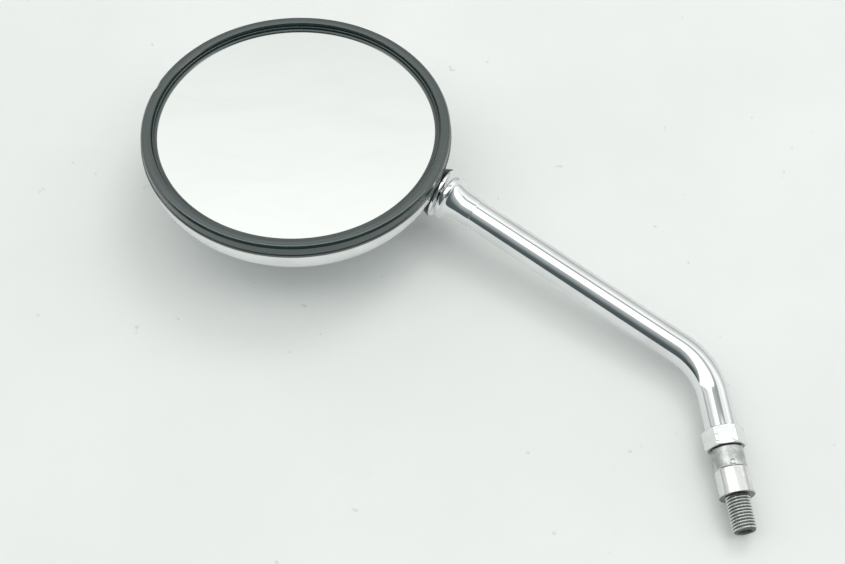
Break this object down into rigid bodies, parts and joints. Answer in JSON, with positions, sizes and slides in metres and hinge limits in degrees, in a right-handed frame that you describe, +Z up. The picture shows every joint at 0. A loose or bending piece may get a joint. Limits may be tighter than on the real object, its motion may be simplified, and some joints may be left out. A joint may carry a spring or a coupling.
{
  "type": "rear-view mirror",
  "caption": "Round chromed rear-view mirror with a black rubber rim, a side ball swivel and a bent tube stem ending in a lock nut, an adapter and a threaded stud.",
  "frame": {"origin": "on the mounting stud's axis, at the face that seats on the handlebar clamp", "axes": "+Z up the stud and the stem's lower leg; the stem bends towards -X; the glass faces about -Y"},
  "size_m": [0.1915, 0.0404, 0.2124],
  "materials": {
    "threaded_steel": "zinc-dulled steel thread with dark roots",
    "plated_steel": "bright zinc plating",
    "adapter_plating": "worn bright plating with dings",
    "nut_plating": "bright plating, slightly dulled",
    "stem_chrome": "polished chrome plating with fine scratches",
    "shell_chrome": "polished chrome plating",
    "spring_steel": "oiled spring steel",
    "liner_plastic": "natural nylon",
    "gasket_rubber": "black moulded rubber",
    "rim_rubber": "black moulded rubber, satin",
    "cast_saddle": "die-cast, as cast",
    "mirror_glass": "silvered glass",
    "card": "grey-brown card"
  },
  "bodies": {
    "adapter": {"adapter_body": "adapter_plating", "mounting_stud": "threaded_steel", "seat_washer": "plated_steel"},
    "lock_nut": {"lock_nut": "nut_plating"},
    "stem": {"stem_tube": "stem_chrome", "stem_thread_end": "threaded_steel", "stem_socket": "stem_chrome", "socket_ring": "plated_steel", "ball_follower": "liner_plastic", "swivel_spring": "spring_steel", "spring_plug": "plated_steel"},
    "liner_front": {"ball_liner_front": "liner_plastic"},
    "liner_rear": {"ball_liner_rear": "liner_plastic"},
    "head": {"ball_stud": "plated_steel", "swivel_collar": "stem_chrome", "swivel_gasket": "gasket_rubber", "mirror_shell": "shell_chrome", "inner_saddle": "cast_saddle", "saddle_rivets": "plated_steel", "stud_washer": "plated_steel", "stud_lock_washer": "spring_steel", "stud_nut": "plated_steel", "mirror_glass": "mirror_glass", "backing_card": "card", "rim_rubber": "rim_rubber"}
  },
  "joints": [
    {"name": "stem_swivel", "type": "hinge", "parent": "adapter", "child": "stem", "pos_m": [0, 0, 0], "axis": [0, 0, 1], "continuous": true},
    {"name": "lock_nut_turn", "type": "hinge", "parent": "stem", "child": "lock_nut", "pos_m": [0, 0, 0], "axis": [0, 0, 1], "range_deg": [0, 60]},
    {"name": "mirror_swing", "type": "hinge", "parent": "stem", "child": "liner_front", "pos_m": [-0.07606, 0, 0.11696], "axis": [-0.207, 0.9527, -0.2225], "range_deg": [0, 11]},
    {"name": "mirror_nod", "type": "hinge", "parent": "liner_front", "child": "liner_rear", "pos_m": [-0.07606, 0, 0.11696], "axis": [-0.6489, -0.3039, -0.6975], "range_deg": [-3, 3]},
    {"name": "mirror_spin", "type": "hinge", "parent": "liner_rear", "child": "head", "pos_m": [-0.07606, 0, 0.11696], "axis": [0.7955, 0.0315, -0.6051], "continuous": true}
  ]
}
